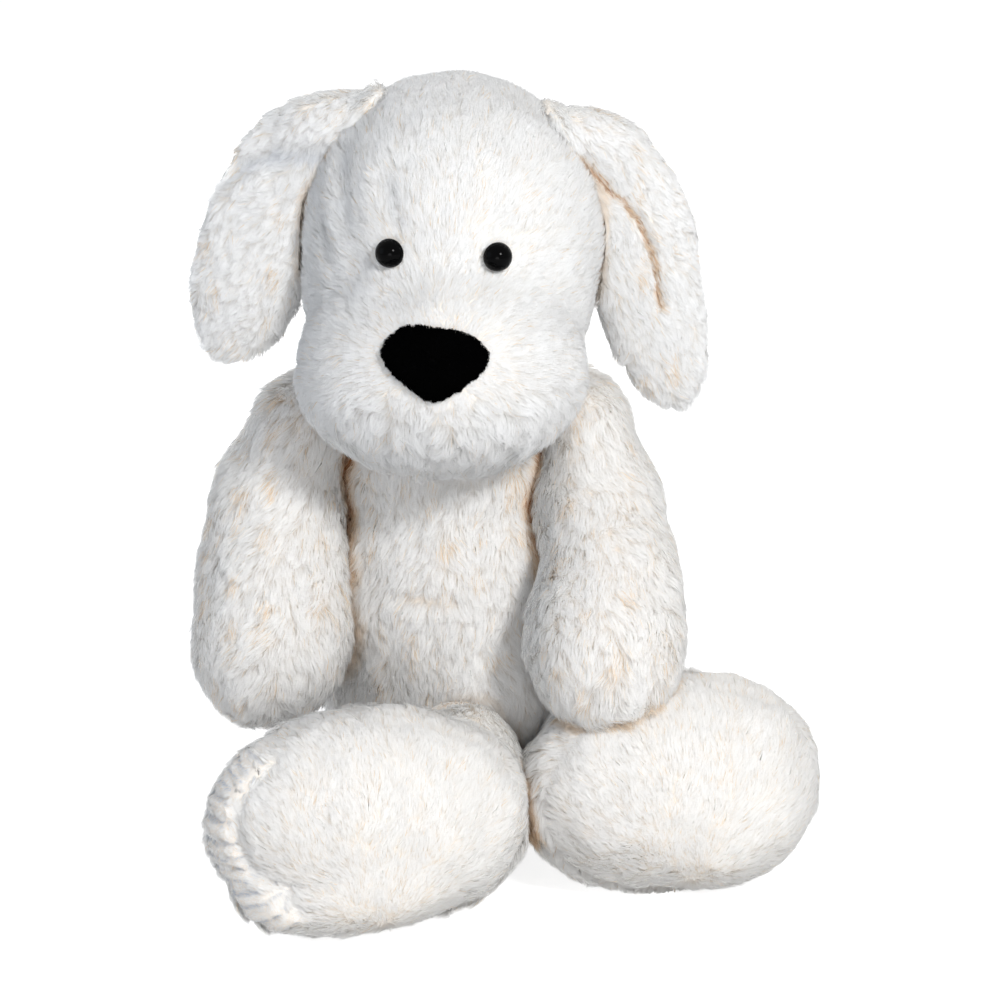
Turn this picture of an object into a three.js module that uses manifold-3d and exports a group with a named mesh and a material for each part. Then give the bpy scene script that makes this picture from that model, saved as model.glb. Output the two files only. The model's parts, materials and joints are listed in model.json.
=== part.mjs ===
// A seated plush dog of long cream pile, in millimetres, +Z up, facing -Y.
// Left and right are the dog's own: its left side is +X.
// The origin is at the middle of the foot of the box around the whole dog.

import * as THREE from 'three';
import { mergeVertices } from 'three/addons/utils/BufferGeometryUtils.js';
import Module from 'manifold-3d';

const wasm = await Module();
wasm.setup();

// Fits
const gap = 0.35;
const swingRoom = 1.2;
const armRoom = 3;
const headTurn = 15;
const headTurnSteps = 3;
const skinWall = 7;
const fillingRoom = 0.45;
const flatCut = 0.5;
const overrun = 4;

// Body: seat, belly and chest
const seatX = -10;
const seatY = 12;
const seatWidth = 134;
const seatDepth = 130;
const seatHeight = 126;
const bellyRise = 104;
const bellyShiftX = -5;
const bellyShiftY = -8;
const bellyWidth = 124;
const bellyDepth = 116;
const bellyHeight = 116;
const chestRise = 160;
const chestShiftX = -11;
const chestShiftY = -8;
const chestWidth = 104;
const chestDepth = 94;
const chestHeight = 88;
const seatBagHeight = 30;
const slitLength = 46;
const slitWidth = 3;
const slitRise = 92;
const threadWidth = 1.2;
const stitchPitch = 6;

// Neck
const neckWidth = 44;
const neckHeight = 26;
const neckSink = 3;
const neckHoleRoom = 2.5;
const collarSpread = 8;

// Head: skull and muzzle
const skullShiftX = 1;
const skullShiftY = -12;
const skullLift = 56;
const skullWidth = 122;
const skullDepth = 118;
const skullHeight = 122;
const muzzleShiftX = -4.5;
const muzzleForward = 46;
const muzzleDrop = 51;
const muzzleWidth = 114;
const muzzleDepth = 88;
const muzzleHeight = 80;
const cheekForward = 12;
const cheekDrop = 30;
const cheekWidth = 111;
const cheekDepth = 102;
const cheekHeight = 74;

// Eyes and their washers
const eyeWidth = 11.5;
const eyeBulge = 5;
const eyeSink = 1.6;
const eyeShaftWidth = 4;
const eyeAcross = 21.8;
const eyeShiftX = -3.6;
const eyeDrop = 2;
const eyeTilt = 0.5;
const washerWidth = 14;
const washerThickness = 1.5;
const washerRoom = 3;
const shaftEnd = 2;

// Nose
const noseWidth = 41;
const noseHeight = 26.5;
const noseProud = 4;
const noseShiftX = -1.5;
const noseRise = 12.6;

// Ears: the right one hangs flatter, the left one longer
const earThickness = 20;
const earLean = 16;
const earRootDepth = 28;
const earY = -4;
const rightEarOut = 77;
const rightEarDrop = 5;
const rightEarLength = 108;
const rightEarWidth = 50;
const rightEarRootOut = 51;
const rightEarRootLift = 37;
const rightEarRootWidth = 48;
const rightEarRootHeight = 36;
const leftEarOut = 76;
const leftEarDrop = 22;
const leftEarLength = 114;
const leftEarWidth = 47;
const leftEarRootOut = 56;
const leftEarRootLift = 31;
const leftEarRootWidth = 48;
const leftEarRootHeight = 34;

// Arms: shoulder, upper arm and paw
const shoulderWidth = 45;
const shoulderRise = 16;
const upperArmWidth = 56;
const upperArmLength = 84;
const pawWidth = 66;
const pawDepth = 62;
const pawLength = 76;
const rightShoulderIn = 2;
const rightShoulderForward = 6;
const rightElbowOut = 12;
const rightPawOut = 22;
const rightPawForward = 36;
const rightPawDrop = 83;
const leftShoulderIn = 4;
const leftShoulderForward = 8;
const leftElbowOut = 6;
const leftPawOut = 13;
const leftPawForward = 72;
const leftPawDrop = 74;
const elbowShare = 0.42;

// Legs: shin, foot and sole
const hipForward = 42;
const legPart = 17;
const legPartGap = 1.2;
const shinWidth = 80;
const shinHeight = 74;
const shinIntoFoot = 26;
const footLength = 128;
const footHeight = 90;
const footDepth = 78;
const solePanelThickness = 11;
const footBagDepth = 22;
const soleYaw = 18;
const rightShinOut = 35;
const rightFootOut = 44;
const rightFootForward = 127;
const rightFootTilt = 0;
const leftShinOut = 40;
const leftFootOut = 76;
const leftFootForward = 86;
const leftFootTilt = 5;

// Tail
const tailWidth = 26;
const tailLength = 56;
const tailRise = 34;
const tailLean = 60;
const tailShowing = 1 / 3;

// Shape of the rounded unions, and how finely each form is faceted
const blend = 9;
const marchSteps = 96;
const halvings = 30;
const skinDetail = 5;
const headDetail = 6;
const limbDetail = 4;
const hollowDetail = 2;
const smallDetail = 3;
const roundSides = 16;
const threadSides = 3;
const threadSteps = 3;

// Shares of the outline of the nose, of half its width and half its height
const noseOutlineShares = [
  [-0.97, 0.42], [-0.62, 0.93], [-0.1, 0.97], [0.55, 0.8], [0.95, 0.42],
  [0.9, 0.0], [0.5, -0.62], [0.02, -1.0], [-0.42, -0.72], [-0.86, -0.08],
];
// Shares of the dome of an eye: across half its width, and along its bulge
const eyeDomeShares = [[1, 0], [0.96, 0.3], [0.8, 0.62], [0.52, 0.87], [0, 1]];

const plush = new THREE.MeshStandardMaterial({ color: 0xf3efe6, roughness: 1 });
const lining = new THREE.MeshStandardMaterial({ color: 0xf6f2ea, roughness: 1 });
const wadding = new THREE.MeshStandardMaterial({ color: 0xe9e9ea, roughness: 1 });
const pelletCloth = new THREE.MeshStandardMaterial({ color: 0xd8d2c4, roughness: 0.9 });
const velour = new THREE.MeshStandardMaterial({ color: 0x0c0c0e, roughness: 0.95 });
const eyePlastic = new THREE.MeshStandardMaterial({ color: 0x050505, roughness: 0.08 });
const washerPlastic = new THREE.MeshStandardMaterial({ color: 0xe8e6df, roughness: 0.5 });
const sewingThread = new THREE.MeshStandardMaterial({ color: 0xeae4d6, roughness: 0.8 });

const degrees = Math.PI / 180;
const vector = (x, y, z) => new THREE.Vector3(x, y, z);
const turned = (x, y, z) =>
  new THREE.Quaternion().setFromEuler(new THREE.Euler(x * degrees, y * degrees, z * degrees));

// One rounded lobe of a form: where it is, its full sizes and how it is turned
function lobe(centre, width, depth, height, turn = turned(0, 0, 0)) {
  const half = vector(width, depth, height).multiplyScalar(1 / 2);
  return { centre, half, back: turn.clone().invert(), turn };
}

// How far inside a form a point is: above one is inside, and one is the surface
function fullness(point, lobes, grow) {
  let sum = 0;
  for (const part of lobes) {
    const local = point.clone().sub(part.centre).applyQuaternion(part.back);
    const x = local.x / (part.half.x + grow);
    const y = local.y / (part.half.y + grow);
    const z = local.z / (part.half.z + grow);
    sum += Math.hypot(x, y, z) ** -blend;
  }
  return sum;
}

// The outermost point of a form on a ray, found by marching in and then halving
function surfacePoint(lobes, from, direction, grow = 0) {
  const reaches = lobes.map((part) => part.centre.distanceTo(from) + 2 * part.half.length() + grow);
  const reach = Math.max(...reaches);
  const at = (distance) => from.clone().addScaledVector(direction, distance);
  let outside = reach;
  let inside = reach;
  for (let step = 1; step <= marchSteps; step += 1) {
    inside = reach * (1 - step / marchSteps);
    if (fullness(at(inside), lobes, grow) >= 1) break;
    outside = inside;
  }
  for (let step = 0; step < halvings; step += 1) {
    const middle = (outside + inside) / 2;
    if (fullness(at(middle), lobes, grow) >= 1) inside = middle;
    else outside = middle;
  }
  return at(inside);
}

function solid(geometry) {
  const bare = geometry.clone();
  bare.deleteAttribute('normal');
  bare.deleteAttribute('uv');
  const merged = mergeVertices(bare);
  return new wasm.Manifold(new wasm.Mesh({
    numProp: 3,
    vertProperties: new Float32Array(merged.attributes.position.array),
    triVerts: new Uint32Array(merged.index.array),
  }));
}

// A swollen form: a ball whose points are pushed out to the union of its lobes.
// The ball is first stretched as its lobes are, so that its facets stay even.
function swollen(form, detail, grow = 0) {
  const ball = new THREE.IcosahedronGeometry(1, detail);
  const places = ball.attributes.position;
  for (let index = 0; index < places.count; index += 1) {
    const direction = vector(places.getX(index), places.getY(index), places.getZ(index))
      .multiply(form.stretch)
      .applyQuaternion(form.turn)
      .normalize();
    const place = surfacePoint(form.lobes, form.centre, direction, grow);
    places.setXYZ(index, place.x, place.y, place.z);
  }
  return solid(ball);
}

function makeForm(lobes, centre, stretch = vector(1, 1, 1), turn = turned(0, 0, 0)) {
  return { lobes, centre, stretch, turn };
}

// A round bar between two points
function bar(from, to, radius, sides = roundSides) {
  const along = to.clone().sub(from);
  const shape = new THREE.CylinderGeometry(radius, radius, along.length(), sides);
  const turn = new THREE.Quaternion().setFromUnitVectors(vector(0, 1, 0), along.clone().normalize());
  shape.applyQuaternion(turn);
  shape.translate(...from.clone().add(to).multiplyScalar(1 / 2).toArray());
  return solid(shape);
}

// A large block that fills everything on the far side of a plane
function beyond(point, normal, size) {
  const shape = new THREE.BoxGeometry(size, size, size);
  shape.translate(0, 0, size / 2);
  const turn = new THREE.Quaternion().setFromUnitVectors(vector(0, 0, 1), normal.clone().normalize());
  shape.applyQuaternion(turn);
  shape.translate(...point.toArray());
  return solid(shape);
}

const dog = new THREE.Group();

function place(name, body, material) {
  const found = body.getMesh();
  const geometry = new THREE.BufferGeometry();
  geometry.setAttribute('position', new THREE.BufferAttribute(new Float32Array(found.vertProperties), 3));
  geometry.setIndex(new THREE.BufferAttribute(new Uint32Array(found.triVerts), 1));
  geometry.computeVertexNormals();
  const piece = new THREE.Mesh(geometry, material);
  piece.name = name;
  dog.add(piece);
}

// The floor cuts every form that would reach below it
const wholeSize = 2 * (seatWidth + footLength + chestRise + skullHeight);
const floor = beyond(vector(0, 0, 0), vector(0, 0, -1), wholeSize);

// Where the lobes of the body are
const seatCentre = vector(seatX, seatY, seatHeight / 2 - flatCut);
const bellyCentre = vector(seatX + bellyShiftX, seatY + bellyShiftY, bellyRise);
const chestCentre = vector(seatX + chestShiftX, seatY + chestShiftY, chestRise);
const torsoLobes = [
  lobe(seatCentre, seatWidth, seatDepth, seatHeight),
  lobe(bellyCentre, bellyWidth, bellyDepth, bellyHeight),
  lobe(chestCentre, chestWidth, chestDepth, chestHeight),
];
const torsoHeight = chestRise + chestHeight / 2;
const torsoForm = makeForm(torsoLobes, bellyCentre, vector(seatWidth, seatDepth, torsoHeight));
const torso = swollen(torsoForm, skinDetail);
const torsoKeepout = swollen(torsoForm, skinDetail, swingRoom);
const armKeepout = swollen(torsoForm, skinDetail, armRoom);
const chestTop = surfacePoint(torsoLobes, chestCentre, vector(0, 0, 1));

// The neck is a round plug on the upright axis of the head's turning
const neckCentre = vector(chestCentre.x, chestCentre.y, chestTop.z - neckSink);
const neckForm = makeForm([lobe(neckCentre, neckWidth, neckWidth, neckHeight)], neckCentre);
const neckHole = bar(
  neckCentre.clone().setZ(neckCentre.z - neckHeight / 2 - gap),
  neckCentre.clone().setZ(neckCentre.z + neckHeight),
  neckWidth / 2 + neckHoleRoom,
  2 * roundSides,
);

function makeTorso() {
  const hollow = swollen(torsoForm, hollowDetail, -skinWall);
  const core = swollen(torsoForm, hollowDetail, -skinWall - fillingRoom);
  const slitMiddle = bellyCentre.clone().setZ(slitRise);
  const backPoint = surfacePoint(torsoLobes, slitMiddle, vector(0, 1, 0));
  const slitShape = new THREE.BoxGeometry(slitWidth, seatDepth, slitLength);
  slitShape.translate(backPoint.x, bellyCentre.y + seatDepth / 2, slitRise);
  const skin = torso.subtract(hollow).subtract(neckHole).subtract(solid(slitShape)).subtract(floor);
  place('torso_skin', skin, plush);

  const bagTop = vector(0, 0, seatBagHeight);
  const aboveBag = beyond(bagTop, vector(0, 0, 1), wholeSize);
  const belowBag = beyond(bagTop.clone().setZ(seatBagHeight + gap), vector(0, 0, -1), wholeSize);
  place('torso_filling', core.subtract(belowBag).subtract(neckHole), wadding);
  place('seat_pellet_bag', core.subtract(aboveBag), pelletCloth);

  // The thread zigzags across the slit, clear of both of its edges
  const half = slitWidth / 2 - threadWidth / 2 - gap;
  const stitches = Math.round(slitLength / stitchPitch) - 1;
  const points = [];
  for (let stitch = 0; stitch <= stitches; stitch += 1) {
    const side = stitch % 2 === 0 ? -half : half;
    const rise = slitRise + stitchPitch * (stitch - stitches / 2);
    const depth = surfacePoint(torsoLobes, bellyCentre.clone().setZ(rise), vector(0, 1, 0)).y;
    points.push(vector(backPoint.x + side, depth - skinWall / 2, rise));
  }
  const route = new THREE.CatmullRomCurve3(points);
  const section = new THREE.Shape();
  section.absarc(0, 0, threadWidth / 2, 0, 2 * Math.PI);
  const tube = new THREE.ExtrudeGeometry(section, {
    steps: threadSteps * stitches, curveSegments: threadSides, extrudePath: route, bevelEnabled: false,
  });
  place('closing_thread', solid(tube), sewingThread);
}

// Where the lobes of the head are
const skullCentre = vector(
  neckCentre.x + skullShiftX, neckCentre.y + skullShiftY, neckCentre.z + skullLift,
);
const muzzleCentre = skullCentre.clone().add(vector(muzzleShiftX, -muzzleForward, -muzzleDrop));
const cheekCentre = skullCentre.clone().add(vector(muzzleShiftX / 2, -cheekForward, -cheekDrop));
const headLobes = [
  lobe(skullCentre, skullWidth, skullDepth, skullHeight),
  lobe(cheekCentre, cheekWidth, cheekDepth, cheekHeight),
  lobe(muzzleCentre, muzzleWidth, muzzleDepth, muzzleHeight),
];
const headForm = makeForm(headLobes, cheekCentre);
const headKeepout = swollen(headForm, headDetail, gap);

// The room that the head sweeps as it turns, which the shoulders stay out of
function sweptHead() {
  const still = swollen(headForm, skinDetail, swingRoom)
    .translate([-neckCentre.x, -neckCentre.y, 0]);
  const copies = [];
  for (let step = -headTurnSteps; step <= headTurnSteps; step += 1) {
    copies.push(still.rotate([0, 0, headTurn * step / headTurnSteps]));
  }
  return wasm.Manifold.union(copies).translate([neckCentre.x, neckCentre.y, 0]);
}

// Everything round the neck axis that the turning head must clear
const collarLobe = lobe(
  neckCentre.clone().setZ(chestCentre.z), chestWidth + collarSpread, chestWidth + collarSpread, chestHeight,
);
const collar = swollen(makeForm([collarLobe], collarLobe.centre), skinDetail, swingRoom);

const eyeSeats = [-1, 1].map((side) => {
  const aim = vector(
    side * eyeAcross + eyeShiftX, -skullDepth / 2, -eyeDrop - side * eyeTilt,
  ).normalize();
  const at = surfacePoint(headLobes, skullCentre, aim);
  const wall = at.distanceTo(surfacePoint(headLobes, skullCentre, aim, -skinWall));
  return { side, aim, at, wall };
});

function eyeOf(seat) {
  const dome = eyeDomeShares.map(([across, along]) =>
    new THREE.Vector2(across * eyeWidth / 2, along * (eyeBulge + eyeSink)));
  const shaftDepth = seat.wall + washerRoom + washerThickness + shaftEnd - eyeSink;
  const profile = [
    new THREE.Vector2(0, -shaftDepth),
    new THREE.Vector2(eyeShaftWidth / 2, -shaftDepth),
    new THREE.Vector2(eyeShaftWidth / 2, 0),
    ...dome,
  ];
  return turnedOnto(profile, seat, -eyeSink);
}

// A profile turned about the line of an eye, its zero that far out of the skin
function turnedOnto(profile, seat, out) {
  const shape = new THREE.LatheGeometry(profile, roundSides);
  const turn = new THREE.Quaternion().setFromUnitVectors(vector(0, 1, 0), seat.aim);
  shape.applyQuaternion(turn);
  shape.translate(...seat.at.clone().addScaledVector(seat.aim, out).toArray());
  return solid(shape);
}

function barOnAim(seat, from, to, radius) {
  return bar(
    seat.at.clone().addScaledVector(seat.aim, from),
    seat.at.clone().addScaledVector(seat.aim, to),
    radius,
  );
}

function makeHead() {
  let skin = swollen(headForm, headDetail);
  const hollow = swollen(headForm, smallDetail, -skinWall);
  let core = swollen(headForm, smallDetail, -skinWall - fillingRoom);
  skin = skin.subtract(hollow).subtract(collar).subtract(neckHole);
  core = core.subtract(collar).subtract(neckHole);
  for (const seat of eyeSeats) {
    const name = seat.side < 0 ? 'right' : 'left';
    const washerTop = -seat.wall - washerRoom;
    const washerFoot = washerTop - washerThickness;
    const shaftHole = eyeShaftWidth / 2 + gap;
    const pocket = washerWidth / 2 + gap;
    skin = skin
      .subtract(barOnAim(seat, washerFoot, overrun, shaftHole))
      .subtract(barOnAim(seat, -eyeSink - gap, eyeBulge + overrun, eyeWidth / 2 + gap));
    core = core
      .subtract(barOnAim(seat, washerFoot - shaftEnd - gap, overrun, shaftHole))
      .subtract(barOnAim(seat, washerFoot - gap, overrun, pocket));
    place(`${name}_eye`, eyeOf(seat), eyePlastic);
    const washer = barOnAim(seat, washerFoot, washerTop, washerWidth / 2)
      .subtract(barOnAim(seat, washerFoot - overrun, washerTop + overrun, shaftHole));
    place(`${name}_eye_washer`, washer, washerPlastic);
  }
  place('head_skin', skin, plush);
  place('head_filling', core, wadding);
  place('neck_filling', swollen(neckForm, smallDetail), wadding);
}

// The nose is a pad cut from a thicker copy of the muzzle by a rounded triangle
function makeNose() {
  const outline = new THREE.CatmullRomCurve3(
    noseOutlineShares.map(([across, up]) => vector(across * noseWidth / 2, up * noseHeight / 2, 0)), true,
  );
  const corners = outline.getPoints(2 * roundSides).slice(0, -1);
  const shape = new THREE.Shape(corners.map((corner) => new THREE.Vector2(corner.x, corner.y)));
  const prism = new THREE.ExtrudeGeometry(shape, { depth: muzzleDepth, bevelEnabled: false });
  prism.rotateX(90 * degrees);
  prism.translate(muzzleCentre.x + noseShiftX, muzzleCentre.y, muzzleCentre.z + noseRise);
  const pad = swollen(headForm, headDetail, noseProud).intersect(solid(prism)).subtract(headKeepout);
  place('nose', pad, velour);
}

// An ear: a flat hanging lobe and a thicker root, split into a back and a lining
function makeEar(name, side, sizes) {
  const turn = turned(0, -side * earLean, 0);
  const flapCentre = skullCentre.clone().add(vector(side * sizes.out, earY, -sizes.drop));
  const rootCentre = skullCentre.clone().add(vector(side * sizes.rootOut, earY, sizes.rootLift));
  const lobes = [
    lobe(flapCentre, sizes.width, earThickness, sizes.length, turn),
    lobe(rootCentre, sizes.rootWidth, earRootDepth, sizes.rootHeight, turned(0, side * earLean, 0)),
  ];
  const form = makeForm(lobes, flapCentre, vector(sizes.width, earThickness, sizes.length), turn);
  const ear = swollen(form, limbDetail).subtract(headKeepout);
  const behind = beyond(flapCentre, vector(0, 1, 0), wholeSize);
  const before = beyond(flapCentre.clone().setY(flapCentre.y + gap), vector(0, -1, 0), wholeSize);
  place(`${name}_ear_lining`, ear.subtract(behind), lining);
  place(`${name}_ear_back`, ear.subtract(before), plush);
}

// Legs and feet
const hipY = seatY - hipForward;
function legForm(side, sizes) {
  const part = seatX + legPart;
  const footTurn = turned(0, -sizes.tilt, 0).premultiply(turned(0, 0, soleYaw));
  const tilt = sizes.tilt * degrees;
  const rise = Math.hypot(footHeight * Math.cos(tilt), footLength * Math.sin(tilt));
  const footCentre = vector(seatX + side * sizes.footOut, seatY - sizes.footForward, rise / 2 - flatCut);
  const shinLength = hipY - footCentre.y + shinIntoFoot;
  const shinCentre = vector(part + side * sizes.shinOut, hipY - shinLength / 2, shinHeight / 2 - flatCut);
  const lobes = [
    lobe(shinCentre, shinWidth, shinLength, shinHeight),
    lobe(footCentre, footLength, footDepth, footHeight, footTurn),
  ];
  const soleAim = vector(0, -1, 0).applyQuaternion(footTurn);
  const middle = shinCentre.clone().lerp(footCentre, 1 / 2);
  return { ...makeForm(lobes, middle), soleAim, footCentre, part };
}

function clipLeg(body, form, side) {
  const inner = beyond(vector(form.part + side * legPartGap / 2, 0, 0), vector(-side, 0, 0), wholeSize);
  return body.subtract(inner).subtract(floor);
}

function makeLeg(name, side, sizes) {
  const form = legForm(side, sizes);
  const outer = clipLeg(swollen(form, skinDetail), form, side).subtract(torsoKeepout);
  const hollow = swollen(form, hollowDetail, -skinWall);
  const core = swollen(form, hollowDetail, -skinWall - fillingRoom);
  const clearCore = clipLeg(core, form, side).subtract(torsoKeepout);
  const { soleAim } = form;
  const heelAim = soleAim.clone().negate();
  const solePoint = form.footCentre.clone().addScaledVector(soleAim, footDepth / 2 - solePanelThickness);
  const ahead = beyond(solePoint, soleAim, wholeSize);
  const rear = beyond(solePoint.clone().addScaledVector(soleAim, gap), heelAim, wholeSize);
  const shell = outer.subtract(hollow);
  place(`${name}_leg_skin`, shell.subtract(ahead), plush);
  place(`${name}_sole_panel`, shell.subtract(rear), lining);
  const bagPoint = solePoint.clone().addScaledVector(soleAim, solePanelThickness - footBagDepth);
  const bagAhead = beyond(bagPoint, soleAim, wholeSize);
  const bagRear = beyond(bagPoint.clone().addScaledVector(soleAim, gap), heelAim, wholeSize);
  place(`${name}_leg_filling`, clearCore.subtract(bagAhead), wadding);
  place(`${name}_foot_pellet_bag`, clearCore.subtract(bagRear), pelletCloth);
  return clipLeg(swollen(form, skinDetail, armRoom), form, side);
}

function makeArm(name, side, sizes, cutters) {
  const shoulderCentre = chestCentre.clone().add(vector(
    side * (chestWidth / 2 - sizes.shoulderIn), -sizes.shoulderForward, shoulderRise,
  ));
  const toPaw = vector(side * sizes.pawOut, -sizes.pawForward, -sizes.pawDrop);
  const pawCentre = shoulderCentre.clone().add(toPaw);
  const turn = new THREE.Quaternion().setFromUnitVectors(vector(0, 0, -1), toPaw.clone().normalize());
  const toElbow = toPaw.clone().multiplyScalar(elbowShare).add(vector(side * sizes.elbowOut, 0, 0));
  const upperCentre = shoulderCentre.clone().add(toElbow);
  const lobes = [
    lobe(shoulderCentre, shoulderWidth, shoulderWidth, shoulderWidth),
    lobe(upperCentre, upperArmWidth, upperArmWidth, upperArmLength, turn),
    lobe(pawCentre, pawWidth, pawDepth, pawLength, turn),
  ];
  const reach = toPaw.length() + pawLength / 2 + shoulderWidth / 2;
  const middle = shoulderCentre.clone().lerp(pawCentre, 1 / 2);
  const form = makeForm(lobes, middle, vector(pawWidth, pawDepth, reach), turn);
  let outer = swollen(form, limbDetail);
  const hollow = swollen(form, hollowDetail, -skinWall);
  let core = swollen(form, hollowDetail, -skinWall - fillingRoom);
  for (const cutter of cutters) {
    outer = outer.subtract(cutter);
    core = core.subtract(cutter);
  }
  place(`${name}_arm_skin`, outer.subtract(hollow), plush);
  place(`${name}_arm_filling`, core, wadding);
}

function makeTail() {
  const backPoint = surfacePoint(torsoLobes, vector(seatX, seatY, tailRise), vector(0, 1, 0));
  const turn = turned(-tailLean, 0, 0);
  const along = vector(0, 0, 1).applyQuaternion(turn);
  const middle = backPoint.clone().addScaledVector(along, tailLength * tailShowing);
  const tailLobe = lobe(middle, tailWidth, tailWidth, tailLength, turn);
  const form = makeForm([tailLobe], middle, vector(tailWidth, tailWidth, tailLength), turn);
  const outer = swollen(form, smallDetail).subtract(torsoKeepout);
  const hollow = swollen(form, hollowDetail, -skinWall);
  const core = swollen(form, hollowDetail, -skinWall - fillingRoom);
  place('tail_skin', outer.subtract(hollow), plush);
  place('tail_filling', core.subtract(torsoKeepout), wadding);
}

makeTorso();
makeHead();
makeNose();
makeEar('right', -1, {
  out: rightEarOut, drop: rightEarDrop, length: rightEarLength, width: rightEarWidth,
  rootOut: rightEarRootOut, rootLift: rightEarRootLift,
  rootWidth: rightEarRootWidth, rootHeight: rightEarRootHeight,
});
makeEar('left', 1, {
  out: leftEarOut, drop: leftEarDrop, length: leftEarLength, width: leftEarWidth,
  rootOut: leftEarRootOut, rootLift: leftEarRootLift,
  rootWidth: leftEarRootWidth, rootHeight: leftEarRootHeight,
});
const rightLeg = makeLeg('right', -1, {
  shinOut: rightShinOut, footOut: rightFootOut, footForward: rightFootForward, tilt: rightFootTilt,
});
const leftLeg = makeLeg('left', 1, {
  shinOut: leftShinOut, footOut: leftFootOut, footForward: leftFootForward, tilt: leftFootTilt,
});
const headSweep = sweptHead();
makeArm('right', -1, {
  shoulderIn: rightShoulderIn, shoulderForward: rightShoulderForward,
  elbowOut: rightElbowOut, pawOut: rightPawOut, pawForward: rightPawForward, pawDrop: rightPawDrop,
}, [armKeepout, headSweep, rightLeg]);
makeArm('left', 1, {
  shoulderIn: leftShoulderIn, shoulderForward: leftShoulderForward,
  elbowOut: leftElbowOut, pawOut: leftPawOut, pawForward: leftPawForward, pawDrop: leftPawDrop,
}, [armKeepout, headSweep, leftLeg]);
makeTail();

// The dog is set down with the middle of its box over the origin
const box = new THREE.Box3().setFromObject(dog);
dog.position.set(-(box.min.x + box.max.x) / 2, -(box.min.y + box.max.y) / 2, -box.min.z);

export default dog;
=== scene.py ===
"""Looks of the seated plush dog: skins, standing pile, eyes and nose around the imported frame.

Forms are written in millimetres in the frame of the model and made in metres.
Right and left are the dog's own: its left side is +X and it faces -Y.
"""

import json
import math

import bmesh
import bpy
import numpy as np
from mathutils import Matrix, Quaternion, Vector
from mathutils.kdtree import KDTree


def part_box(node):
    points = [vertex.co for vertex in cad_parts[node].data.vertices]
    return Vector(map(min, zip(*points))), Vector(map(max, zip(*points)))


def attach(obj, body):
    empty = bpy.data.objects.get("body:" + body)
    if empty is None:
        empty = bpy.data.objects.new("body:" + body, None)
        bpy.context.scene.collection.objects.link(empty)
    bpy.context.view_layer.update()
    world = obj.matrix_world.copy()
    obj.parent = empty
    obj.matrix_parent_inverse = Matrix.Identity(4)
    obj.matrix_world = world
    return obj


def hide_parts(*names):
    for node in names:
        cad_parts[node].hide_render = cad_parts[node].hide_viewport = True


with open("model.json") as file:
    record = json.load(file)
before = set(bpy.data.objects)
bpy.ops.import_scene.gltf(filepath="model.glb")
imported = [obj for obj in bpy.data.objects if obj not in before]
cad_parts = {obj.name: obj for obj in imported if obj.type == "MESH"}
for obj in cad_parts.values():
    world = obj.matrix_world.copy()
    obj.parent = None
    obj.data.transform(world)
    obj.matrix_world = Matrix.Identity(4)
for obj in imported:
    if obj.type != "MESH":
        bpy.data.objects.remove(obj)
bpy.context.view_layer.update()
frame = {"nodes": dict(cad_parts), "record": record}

MM = 0.001
BLEND = 9.0  # how sharply two lobes of a form meet
SEED = 20
DENSITY = 4.2  # strands on each square millimetre
MOST_STRANDS = 64000  # in one mesh
NOSE_STRANDS = 16000
PART_X = 6.25  # the plane between the two legs
BACK_SEAM_X = -15.75
BACK_Y = 40.0  # the back of the body lies behind it
FRONT_Y = 10.0  # the fronts of the ears and of the body lie ahead of it
FLOOR_Z = 0.4  # no skin lies lower
LEG_GAP = 0.6  # from the plane between the legs to the skin of each
SKIN_ROUNDS = 2  # of evening out each skin
# The shade of a strand: the painted grey shade of creases lies below the first, and tan hairs,
# brown seam lines and the painted brown shade of slits lie above the second
PAINTED_CREASE_SHADE = 0.11
PAINTED_SLIT_SHADE = 0.82
TAN_SHADE = 0.89


# ---------------------------------------------------------------- camera and light

def look_at(thing, target):
    thing.rotation_euler = (Vector(target) - thing.location).to_track_quat("-Z", "Y").to_euler()


def make_camera():
    data = bpy.data.cameras.new("camera")
    data.lens = 135.0
    data.sensor_width = 36.0
    data.clip_end = 50.0
    camera = bpy.data.objects.new("camera", data)
    bpy.context.scene.collection.objects.link(camera)
    camera.location = (-0.002, -1.46889, 0.53923)
    camera.rotation_euler = (math.radians(75.0), 0.0, 0.0)
    bpy.context.scene.camera = camera


def make_lamp(name, place, target, size, power, color):
    data = bpy.data.lights.new(name, "AREA")
    data.shape = "DISK"
    data.size = size
    data.energy = power
    data.color = color
    lamp = bpy.data.objects.new(name, data)
    bpy.context.scene.collection.objects.link(lamp)
    lamp.location = place
    look_at(lamp, target)


def seen_rays(nodes, links):
    """1 for what the camera sees, straight or in gloss or glass."""
    path = nodes.new("ShaderNodeLightPath")
    made = path.outputs["Is Camera Ray"]
    for kind in ("Glossy", "Transmission"):
        most = nodes.new("ShaderNodeMath")
        most.operation = "MAXIMUM"
        links.new(made, most.inputs[0])
        links.new(path.outputs[f"Is {kind} Ray"], most.inputs[1])
        made = most.outputs[0]
    return made


# Name, place, target, width, power and colour
LAMPS = [
    ("key", (0.72, -1.36, 1.12), (0.0, 0.0, 0.12), 0.38, 19.4, (1.0, 0.998, 0.99)),
    ("front", (-0.02, -1.9, 0.10), (0.0, 0.0, 0.05), 0.9, 8.8, (1.0, 1.0, 1.0)),
    ("side", (-1.5, -0.5, 0.7), (0.0, 0.0, 0.13), 1.1, 3.0, (0.72, 0.84, 1.0)),
    ("back", (-0.5, 1.7, 1.0), (0.0, 0.0, 0.15), 1.2, 18.0, (1.0, 1.0, 1.0)),
]


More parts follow.
